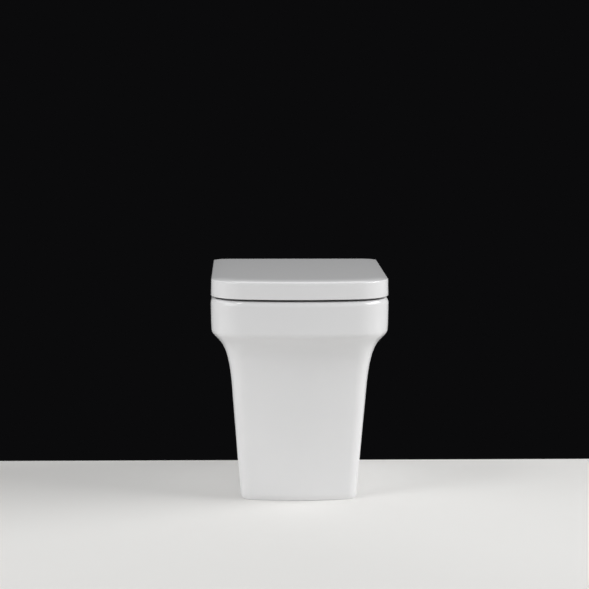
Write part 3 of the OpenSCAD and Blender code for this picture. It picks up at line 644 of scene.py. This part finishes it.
def bowl_plan(settings, z, grow=0.0):
    """The bowl at height z, round at its throat and egg-shaped under the rim."""
    half, front, back = mouth_size(settings)
    low, mid, high = BEND, BEND + 60, BEND + 130
    to_side = knots(z, [(low, TRAP_BORE, 0.15), (mid, 55, 0.5), (high, 100, 0.7),
                        (BOWL_TOP - 15, half + 23, 0.25), (BOWL_TOP, half + 22, -0.1)])
    to_front = knots(z, [(low, TRAP_BORE, 0.15), (mid, 58, 0.75), (high, 125, 1.1),
                         (BOWL_TOP - 15, THROAT - front + 24, 0.35), (BOWL_TOP, THROAT - front + 23, -0.1)])
    to_back = knots(z, [(low, TRAP_BORE, 0.3), (mid, 55, 0.7), (high, 108, 0.8),
                        (BOWL_TOP - 15, back - THROAT + 10, 0.25), (BOWL_TOP, back - THROAT + 9, -0.1)])
    share = (z - BEND) / (BOWL_TOP - BEND)
    return egg(to_side + grow, THROAT - to_front - grow, THROAT + to_back + grow,
               THROAT + (MOUTH_WAIST - THROAT) * share, 2 + 0.5 * share)


def trap_line():
    """Centre line of the trap as (y, z): round the sump, over the weir and down to the outlet."""
    rise, weir, end = 26, 2 * TRAP_TURN, 187.5
    fall = math.degrees(math.acos(0.69))
    line = arc((0, BEND), TRAP_TURN, 180, 360, 40)[1:]
    line += [(TRAP_TURN, BEND + rise * i / 5) for i in range(1, 5)]
    line += arc((weir, BEND + rise), TRAP_TURN, 180, 90 - fall, 28)
    foot = weir + 2 * TRAP_TURN * math.sin(math.radians(fall))
    line += arc((foot, OUTLET + TRAP_TURN), TRAP_TURN, 270 - fall, 270, 12)[1:]
    return line + [(foot + (end - foot) * i / 3, OUTLET) for i in (1, 2, 3)]


def tube_rows(start, line, radius):
    """Rings square to a centre line in the plane x = 0, lined up with the rings of the bowl."""
    rows = []
    for i, (y, z) in enumerate(line):
        before, after = line[i - 1] if i else start, line[min(i + 1, len(line) - 1)]
        run = math.hypot(after[0] - before[0], after[1] - before[1])
        ty, tz = (after[0] - before[0]) / run, (after[1] - before[1]) / run
        rows.append([(radius * math.cos(a), y - radius * math.sin(a) * tz, z + radius * math.sin(a) * ty)
                     for a in around()])
    return rows


def bowl_rows(settings):
    """From the deck round the mouth's lips, out under the rim, down the bowl and through the trap."""
    lip, hem, hem_top = 6, 5, RIM - 49
    shoulder, shoulder_foot = 3, BOWL_TOP - 2
    rows = [at(mouth_plan(settings, lip + 1.2), RIM)]
    rows += [at(mouth_plan(settings, x), RIM - lip + up) for x, up in quarter(lip, lip, 8, backward=True)]
    rows += [at(mouth_plan(settings, 0), z) for z in (DECK_UNDER, RIM - 24, RIM - 36, hem_top)]
    rows += [at(mouth_plan(settings, x), hem_top - up) for x, up in quarter(hem, hem, 6)[1:]]
    inside, outside = rows[-1], at(bowl_plan(settings, shoulder_foot, -shoulder), shoulder_foot + shoulder)
    for share in (0.25, 0.5, 0.75):
        rows.append([tuple(p + (q - p) * share for p, q in zip(a, b)) for a, b in zip(inside, outside)])
    rows += [at(bowl_plan(settings, shoulder_foot, -x), shoulder_foot + up)
             for x, up in quarter(shoulder, shoulder, 5, backward=True)]
    rows += [at(bowl_plan(settings, z), z) for z in steps(shoulder_foot, BEND, 6)[1:]]
    return rows + tube_rows((THROAT, BEND), trap_line(), TRAP_BORE)


def square_inside(obj, outer_count, skirt, mouth):
    """Trues the cast wall's hidden side: foot on the floor, walls straight up to a level deck."""
    bm = bmesh.new()
    bm.from_mesh(obj.data)
    bm.verts.ensure_lookup_table()
    outer = [v.co.z / MM for v in bm.verts[:outer_count]]

    def inner(i):
        return bm.verts[i + outer_count].co

    for row, z in zip(skirt[:2], (0, 0.5)):
        for i, above in zip(row, skirt[2]):
            inner(i).xy, inner(i).z = inner(above).xy, z * MM
    for rows in (skirt, mouth):
        wall = [r for r in rows if outer[r[0]] <= DECK_UNDER + 0.01]
        corner = wall[-1] if rows is skirt else wall[0]
        for row in rows:
            if outer[row[0]] > DECK_UNDER - 0.01:
                for i, k in zip(row, corner):
                    inner(i).xy, inner(i).z = inner(k).xy, DECK_UNDER * MM
    bmesh.ops.remove_doubles(bm, verts=bm.verts, dist=0.00002)
    bm.to_mesh(obj.data)
    bm.free()


class TOILET_OT_pan(bpy.types.Operator):
    """Casts the pan: skirt, rim, bowl and trap in one skin, with its box rim, spigot and flush inlet"""
    bl_idname = "toilet.pan"
    bl_label = "Pan"

    def execute(self, context):
        settings = context.scene.toilet_pan
        bm = bmesh.new()
        skirt = loft(bm, skirt_rows(settings), closed=False)
        mouth = loft(bm, bowl_rows(settings))
        ends = skirt[-1][0], skirt[-1][-1]
        bmesh.ops.contextual_create(bm, geom=ends)
        deck = ring_edges(bm, skirt[-1], closed=False) + ring_edges(bm, mouth[0]) + [bm.edges.get(ends)]
        bmesh.ops.triangle_fill(bm, edges=deck, use_beauty=True)
        turn_out(bm)
        bm.verts.index_update()
        skirt = [[v.index for v in row] for row in skirt]
        mouth = [[v.index for v in row] for row in mouth]
        count = len(bm.verts)
        pan = make("pan_casting", bm, "vitreous_china", "pan_body", closed=False,
                   replaced=["pan_skirt", "pan_bowl", "pan_trap"])
        pan.data.materials.append(material_for("unglazed_china"))
        thicken(pan, "cast wall", settings.wall, inner_material=1)
        square_inside(pan, count, skirt, mouth)
        carve(pan, self.holes(settings))
        self.rim_channel(settings)
        self.spigot()
        self.inlet(settings)
        return {"FINISHED"}

    def holes(self, settings):
        """Rinsing holes, seat fixing holes, and a hole with a flat seat for each side screw."""
        bm = bmesh.new()
        plan = mouth_plan(settings, 15)
        first, spread = 0.36, 0.78  # where on the plan the row of rinsing holes starts, and its share
        for i in range(settings.rinse_holes):
            x, y = plan[round(len(plan) * (first + spread * i / (settings.rinse_holes - 1))) % len(plan)]
            self.plug(bm, (x, y, BOWL_TOP - 4), (0, 0, 1), 2.75, 22, 24)
        side, _ = skirt_tables(settings)
        seat = HALF - knots(SCREW_HEIGHT, side) - 1.8
        for hand in (-1, 1):
            self.plug(bm, (hand * FIXING, HINGE_Y, DECK_UNDER - 3), (0, 0, 1), 7, 20, 48)
            for x, radius, length, segments in ((seat, 11, 8, 64), (seat - 18, 4, 18.5, 32)):
                self.plug(bm, (hand * x, WALL - SCREW_DEPTH, SCREW_HEIGHT), (hand, 0, 0), radius, length,
                          segments)
        return cutter(bm)

    def plug(self, bm, start, axis, radius, length, segments):
        """A cylinder that cuts a hole, from start along the axis."""
        turn = Vector(axis).to_track_quat("Z", "Y").to_matrix().to_4x4()
        middle = Vector(start) + Vector(axis) * length / 2
        bmesh.ops.create_cone(bm, cap_ends=True, segments=segments, radius1=radius, radius2=radius,
                              depth=length, matrix=Matrix.Translation(middle) @ turn)

    def rim_channel(self, settings):
        """Floor and outer wall of the channel that carries the flush round the rim."""
        half, front, back = mouth_size(settings)
        section = [(28, RIM - 53), (46, RIM - 54), (48, RIM - 52), (48, DECK_UNDER + 2), (36, DECK_UNDER + 2),
                   (36, RIM - 40), (33, RIM - 42), (28, RIM - 42)]
        bm = bmesh.new()
        rows = loft(bm, [at(egg(half + g, front - min(g, CHANNEL_FRONT), back + g, MOUTH_WAIST,
                                MOUTH_POWER), z) for g, z in section])
        bmesh.ops.bridge_loops(bm, edges=ring_edges(bm, rows[-1]) + ring_edges(bm, rows[0]))
        carve(self.bare("pan_rim_channel", bm, "pan_bowl"), self.room(back + 20))

    def room(self, y):
        """The open inside of the inlet chamber, which starts at y."""
        bm = bmesh.new()
        block(bm, (-ROOM, y, ROOM_FLOOR), (ROOM, y + ROOM_DEPTH, ROOM_TOP))
        return cutter(bm)

    def bare(self, name, bm, node, sharp=CRISP):
        """A part of the casting that no glaze reaches."""
        part = make(name, bm, "unglazed_china", "pan_body", replaced=[node], sharp=sharp)
        return part

    def spigot(self):
        """Outlet spigot that a pan connector pushes over."""
        bm = bmesh.new()
        spun(bm, [(44, 172), (48.5, 170.4), (51, 172.5), (51, 225), (49, 227.5), (44, 227.5), (42, 226),
                  (42, 186), (44, 172)], (0, 0, OUTLET), (0, 1, 0), 96)
        self.bare("pan_spigot", bm, "pan_trap", sharp=40)

    def inlet(self, settings):
        """Chamber behind the bowl, and the horn that takes the flush cone."""
        y = mouth_size(settings)[2] + 20
        outside = ROOM + CASTING
        bm = bmesh.new()
        walls = block(bm, (-outside, y - CASTING, ROOM_FLOOR - CASTING),
                      (outside, y + ROOM_DEPTH + CASTING, DECK_UNDER + 2))
        bevel_all(bm, walls, 7, 4)
        way = bmesh.new()
        self.plug(way, (0, y + 30, INLET), (0, 1, 0), 27, 30, 64)
        carve(self.bare("pan_inlet_chamber", bm, "pan_inlet"), self.room(y), cutter(way))
        bm = bmesh.new()
        spun(bm, [(27.5, y + 40), (27.5, 231), (29, 232.5), (34.5, 232.5), (36.5, 230.5), (36.5, y + 46),
                  (33, y + 40), (27.5, y + 40)], (0, 0, INLET), (0, 1, 0), 96)
        self.bare("pan_flush_inlet", bm, "pan_inlet", sharp=40)


# ---------------- seat ring

RING_UNDER, RING_TOP = RING_LOW.z / MM, RING_HIGH.z / MM
OPENING = (108, MOUTH_WAIST - 138, MOUTH_WAIST + 130)  # half width, front and back
OPENING_POWER = 2.5
PADS = [(95, FRONT + 52), (143, MOUTH_WAIST + 120)]  # where the right-hand buffers sit
CEILING = RING_TOP - 3  # inside the ring's wall


def flat_solid(bm, outline, low, high):
    """Extrudes an outline, given as (y, z) from the hinge's axis, from one x to another."""
    verts = start_ring(bm, [(low, HINGE_Y + y, HINGE_Z + z) for y, z in outline])
    face = bmesh.ops.contextual_create(bm, geom=verts)["faces"]
    made = bmesh.ops.extrude_face_region(bm, geom=face, use_keep_orig=True)["geom"]
    far = [v for v in made if isinstance(v, bmesh.types.BMVert)]
    bmesh.ops.translate(bm, vec=(high - low, 0, 0), verts=far)


def ears(bm, outline, near, far):
    """A hinge ear on each side, near and far being its faces' distances from the middle."""
    for low, high in ((-far, -near), (near, far)):
        flat_solid(bm, outline, low, high)


def boss(bm, radius, low, high, centre):
    """A round pad with a broken lower edge."""
    edge = 0.8
    spun(bm, [(0, low), (radius - edge, low), (radius, low + edge), (radius, high), (0, high)], centre,
         (0, 0, 1), 48)


class TOILET_OT_seat_ring(bpy.types.Operator):
    """Moulds the seat ring with its hollow underside, ribs, buffer bosses and hinge ears"""
    bl_idname = "toilet.seat_ring"
    bl_label = "Seat ring"

    def execute(self, context):
        settings = context.scene.toilet_seat
        bm = bmesh.new()
        loft(bm, self.rows())
        turn_out(bm)
        ring = make("seat_ring_shell", bm, "thermoset_white", "seat", replaced=["seat_ring"], closed=False)
        thicken(ring, "moulded wall", settings.ring_wall)
        bm = bmesh.new()
        self.ribs(bm)
        make("seat_ring_ribs", bm, "thermoset_white", "seat")
        bm = bmesh.new()
        foot, top = RING_UNDER + 3 - HINGE_Z, RING_TOP - 1.5 - HINGE_Z
        ears(bm, [(-24, foot), (-12, -10.4)] + arc((0, 0), 10.5, -90, 120, 21) + [(-24, top)], 95, 113)
        soften(bm, 1.4)
        make("seat_ring_ears", bm, "thermoset_white", "seat")
        return {"FINISHED"}

    def rows(self):
        """Its section from the opening's lower edge over the top and down to the outer lower edge."""
        half, front, back = RING_HIGH.x / MM, RING_LOW.y / MM, HINGE_Y - 18.5
        inside_rim = HALF - half
        shoulder, shoulder_fall, edge, edge_fall = 19, 11, 10, 6

        def outer(inset):
            return bow_loop(half - inset, front + inset, back - inset, RIM_BOW - inside_rim - inset,
                            RIM_CORNER - inside_rim - inset, max(20 - inset, 4))

        def inner(grow):
            width, near, far = OPENING
            return egg_on_rays(outer(0), width + grow, near - grow, far + grow, MOUTH_WAIST, OPENING_POWER)

        rows = [at(inner(g), RING_UNDER + z) for g, z in ((1.4, 0), (0.5, 0.3), (0, 1.2), (0, 4), (0, 7))]
        rows += [at(inner(g), RING_TOP - shoulder_fall + z)
                 for g, z in quarter(shoulder, shoulder_fall, 12)[1:]]
        rows += [at(outer(g), RING_TOP - edge_fall + z)
                 for g, z in quarter(edge, edge_fall, 10, backward=True)]
        foot = ((0, 7), (0, 4), (0, 1.5), (0.4, 0.5), (1.2, 0))
        return rows + [at(outer(g), RING_UNDER + z) for g, z in foot]

    def ribs(self, bm):
        """Four bosses over the buffers, and three ribs under each side."""
        for hand in (-1, 1):
            for x, y in PADS:
                boss(bm, 10, RING_UNDER, CEILING, (hand * x, y, 0))
            for y in (FRONT + 110, FRONT + 190, FRONT + 270):
                reach = max(abs(p[0]) for p in egg(*OPENING, MOUTH_WAIST, OPENING_POWER) if abs(p[1] - y) < 3)
                low, high = sorted((hand * (reach + 2.5), hand * (RING_HIGH.x / MM - 2.5)))
                bevel_all(bm, block(bm, (low, y, RING_UNDER + 1), (high, y + 3, CEILING)), 0.6, 2)


# ---------------- lid

LID_BACK, LID_UNDER, LID_TOP = LID_HIGH.y / MM, LID_LOW.z / MM, LID_HIGH.z / MM
LID_HEM = LID_UNDER + 1.2  # the photograph's gap under the lid is this much wider than the CAD's
LID_CEILING = LID_TOP - 4


class TOILET_OT_lid(bpy.types.Operator):
    """Moulds the wrap-over lid: crowned top, upright skirt and a rounded tail that clears the hinges"""
    bl_idname = "toilet.lid"
    bl_label = "Lid"

    def execute(self, context):
        settings = context.scene.toilet_seat
        bm = bmesh.new()
        rows = loft(bm, self.rows(settings))
        bmesh.ops.triangle_fill(bm, edges=ring_edges(bm, rows[-1]), use_beauty=True)
        turn_out(bm)
        lid = make("lid_shell", bm, "thermoset_white", "lid", replaced=["lid"], closed=False)
        thicken(lid, "moulded wall", settings.lid_wall)
        carve(lid, *self.tail())
        bm = bmesh.new()
        up = LID_CEILING - HINGE_Z
        ears(bm, arc((0, 0), 10, 0, -180, 18) + [(-26, up), (11.5, up)], 43, 60)
        soften(bm, 1.2)
        for hand in (-1, 1):
            boss(bm, 8, LID_TOP - 8, LID_CEILING, (hand * 128, FRONT + 95, 0))
        make("lid_ears", bm, "thermoset_white", "lid")
        return {"FINISHED"}

    def rows(self, settings):
        """From the lower edge up the skirt, over the top edge and in across the crown."""
        half, front = LID_HIGH.x / MM, LID_LOW.y / MM
        edge, crown = settings.lid_edge / MM, settings.lid_crown / MM
        lean, crown_start, crown_end = 0.6, 3, 62  # how far in from the lid's outline

        def ring(inset, back_inset, z):
            return at(bow_loop(half - inset, front + inset, LID_BACK - back_inset, RIM_BOW - inset,
                               max(RIM_CORNER - inset, 14), max(4 - back_inset / 2, 1.5)), z)

        rows = [ring(inset, inset, LID_HEM + up) for inset, up in ((0.9, 0), (0.3, 0.25), (0, 1))]
        rows += [ring(lean * (z - 1) / 28, 0, LID_UNDER + z) for z in (8, 16, 24)]
        for x, up in quarter(crown_start - lean, edge, 8):
            rows.append(ring(lean + x, x * 0.5, LID_TOP - crown - edge + up))
        for inset in (4.2, 6, 8.5, 12, 17, 24, 33, 45, 60):
            fall = crown * (1 - (inset - crown_start) / (crown_end - crown_start)) ** 4.5
            rows.append(ring(inset, 1.2 + (inset - crown_start) * 0.16, LID_TOP - fall))
        return rows + [ring(crown_end, 11, LID_TOP)]

    def tail(self):
        """Cutters for the room round the hinges and the curve that swings past the deck."""
        hinges, below, swing = bmesh.new(), bmesh.new(), bmesh.new()
        for bm, half, top in ((hinges, 116, LID_TOP - 5), (below, 169, LID_UNDER + 15)):
            block(bm, (-half, HINGE_Y + 9, LID_UNDER - 2), (half, HINGE_Y + 27, top))
        clear, past, beneath = 20.5, 24, -40  # the curve's radius, and how far the cutter goes on
        sweep = arc((0, 0), clear, -90, 0, 24) + [(past, 0), (past, beneath), (0, beneath)]
        flat_solid(swing, sweep, -HALF - 2, HALF + 2)
        return [cutter(bm) for bm in (hinges, below, swing)]


# ---------------- small pieces


class TOILET_OT_buffers(bpy.types.Operator):
    """Moulds the soft buffers of the ring and the lid"""
    bl_idname = "toilet.buffers"
    bl_label = "Buffers"

    def execute(self, context):
        for node in ("seat_buffers", "lid_buffers"):
            polish(node + "_moulded", node, edge=0)
        return {"FINISHED"}


class TOILET_OT_hinges(bpy.types.Operator):
    """Finishes the hinge bodies with their dampers, shafts, pins, catches and release buttons"""
    bl_idname = "toilet.hinges"
    bl_label = "Hinges"

    def execute(self, context):
        for side, hand in (("left", -1), ("right", 1)):
            polish("hinge_body_" + side + "_plated", "hinge_body_" + side, edge=0.6)
            polish("release_button_" + side + "_moulded", "release_button_" + side, edge=0.5)
            self.catch(side, hand)
        for node in ("seat_damper", "lid_damper", "seat_damper_shaft", "lid_damper_shaft", "seat_pin",
                     "lid_pin"):
            polish(node + "_finished", node)
        return {"FINISHED"}

    def catch(self, side, hand):
        """A wire catch: one side's half of the catch springs, set in place in the scene."""
        wire = polish("catch_spring_" + side, "catch_springs", edge=0, half=hand)
        wire.parent = None  # the wire is taken off its body
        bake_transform(wire)


class TOILET_OT_fixings(bpy.types.Operator):
    """Finishes the seat's pillars, discs and bungs, and the brackets, screws and caps at the foot"""
    bl_idname = "toilet.fixings"
    bl_label = "Fixings"

    def execute(self, context):
        for node, edge in (("base_gaskets", 0.2), ("hinge_base_left", 0.2), ("hinge_base_right", 0.2),
                           ("pillar_bolts", 0.2), ("expanding_bungs", 0.3), ("bung_nuts", 0.4),
                           ("floor_bracket_left", 0.6), ("floor_bracket_right", 0.6),
                           ("side_screws", 0.2), ("side_screw_caps", 0)):
            polish(node + "_finished", node, edge)
        return {"FINISHED"}


# ---------------- stage


def area_lamp(name, place, target, size, power, spread):
    """A soft box aimed at a point and hidden from the eye; a grid sets its spread, in degrees."""
    lamp = bpy.data.lights.new(name, "AREA")
    lamp.shape = "RECTANGLE"
    lamp.size, lamp.size_y = size
    lamp.energy = power
    lamp.spread = math.radians(spread)
    obj = bpy.data.objects.new(name, lamp)
    bpy.context.scene.collection.objects.link(obj)
    obj.visible_camera = False
    obj.location = place
    obj.rotation_euler = (Vector(target) - Vector(place)).to_track_quat("-Z", "Y").to_euler()


class TOILET_OT_stage(bpy.types.Operator):
    """Lays the floor, hangs the soft lamps and sets the camera"""
    bl_idname = "toilet.stage"
    bl_label = "Stage"

    def execute(self, context):
        settings = context.scene.toilet_stage
        context.scene.view_settings.view_transform = "Standard"
        self.floor(settings)
        self.world(context.scene, settings.ambient)
        middle, foot = (0, -0.05, 0.25), (0, -0.15, 0.02)
        for name, place, target, size, power, spread in (
                ("key lamp", (-1.4, -1.7, 2.6), middle, (0.6, 0.6), settings.key_light, 180),
                ("left lamp", (-2.6, -1.6, 1.6), middle, (2.2, 2.2), settings.left_light, 90),
                ("left side lamp", (-2.7, 0.2, 2.1), middle, (2.4, 1.4), settings.left_side_light, 110),
                ("right lamp", (3.0, -0.6, 2.2), middle, (3.0, 1.4), settings.right_light, 110),
                ("back lamp", (0, 3.0, 2.4), middle, (2.4, 1.2), settings.back_light, 180),
                ("foot lamp", (0.1, -1.3, 0.06), foot, (1.4, 0.1), settings.foot_light, 36)):
            area_lamp(name, place, target, size, power, spread)
        self.camera(context.scene)
        return {"FINISHED"}

    def floor(self, settings):
        """A sheet that ends at the wall's line, as in the photograph."""
        side, front = 6000, -9000
        bm = bmesh.new()
        bmesh.ops.create_grid(bm, x_segments=1, y_segments=1, size=1)
        for v in bm.verts:
            v.co = (v.co.x * side, WALL if v.co.y > 0 else front, 0)
        floor = put("floor", bm)
        floor.data.materials.append(matt_floor_paint(settings.floor))

    def world(self, scene, ambient):
        """A dark studio for the eye and for gloss, and an even pale light on everything."""
        world = bpy.data.worlds.new("studio")
        world.use_nodes = True
        tree = world.node_tree
        tree.nodes.clear()
        rays = add(tree, "LightPath").outputs
        seen = rays["Is Camera Ray"]
        for ray in ("Is Glossy Ray", "Is Transmission Ray"):
            seen = add(tree, "Math", {0: seen, 1: rays[ray]}, operation="MAXIMUM")
        soft = add(tree, "Background", {"Color": (1, 1, 1, 1), "Strength": ambient})
        dark = add(tree, "Background", {"Color": (*linear("#0B0B0C"), 1), "Strength": 1})
        mix = add(tree, "MixShader", {0: seen, 1: soft, 2: dark})
        add(tree, "OutputWorld", {"Surface": mix})
        scene.world = world

    def camera(self, scene):
        """The camera fitted to the photograph's outline."""
        place = (-0.1122, -4.0929, 0.8987)
        yaw, pitch, roll = (math.radians(a) for a in (1.49, 6.96, 0.09))
        ahead = Vector((math.sin(yaw) * math.cos(pitch), math.cos(yaw) * math.cos(pitch), -math.sin(pitch)))
        right = Vector((math.cos(yaw), -math.sin(yaw), 0))
        up = right.cross(ahead)
        right, up = (math.cos(roll) * right + math.sin(roll) * up,
                     math.cos(roll) * up - math.sin(roll) * right)
        data = bpy.data.cameras.new("camera")
        data.lens = 122.8
        data.sensor_width = 36
        data.clip_end = 50
        camera = bpy.data.objects.new("camera", data)
        scene.collection.objects.link(camera)
        camera.matrix_world = Matrix.Translation(place) @ Matrix((right, up, -ahead)).transposed().to_4x4()
        scene.camera = camera


class TOILET_PT_panel(bpy.types.Panel):
    """Lists the toilet's pieces and their settings"""
    bl_idname = "TOILET_PT_panel"
    bl_label = "Back to Wall Toilet"
    bl_space_type = "VIEW_3D"
    bl_region_type = "UI"
    bl_category = "Toilet"

    def draw(self, context):
        layout = self.layout
        for group in (context.scene.toilet_pan, context.scene.toilet_seat, context.scene.toilet_stage):
            box = layout.box()
            for name in group.__annotations__:
                box.prop(group, name)
        for operator in OPERATORS:
            layout.operator(operator.bl_idname)


SETTINGS = {"toilet_pan": ToiletPanSettings, "toilet_seat": ToiletSeatSettings,
            "toilet_stage": ToiletStageSettings}
OPERATORS = (TOILET_OT_pan, TOILET_OT_seat_ring, TOILET_OT_lid, TOILET_OT_buffers, TOILET_OT_hinges,
             TOILET_OT_fixings, TOILET_OT_stage)


def register():
    for cls in (*SETTINGS.values(), *OPERATORS, TOILET_PT_panel):
        bpy.utils.register_class(cls)
    for name, cls in SETTINGS.items():
        setattr(bpy.types.Scene, name, PointerProperty(type=cls))


def unregister():
    for name in SETTINGS:
        delattr(bpy.types.Scene, name)
    for cls in (TOILET_PT_panel, *reversed(OPERATORS), *SETTINGS.values()):
        bpy.utils.unregister_class(cls)


def main():
    register()
    bpy.ops.toilet.pan()
    bpy.ops.toilet.seat_ring()
    bpy.ops.toilet.lid()
    bpy.ops.toilet.buffers()
    bpy.ops.toilet.hinges()
    bpy.ops.toilet.fixings()
    bpy.ops.toilet.stage()


if __name__ == "__main__":
    main()
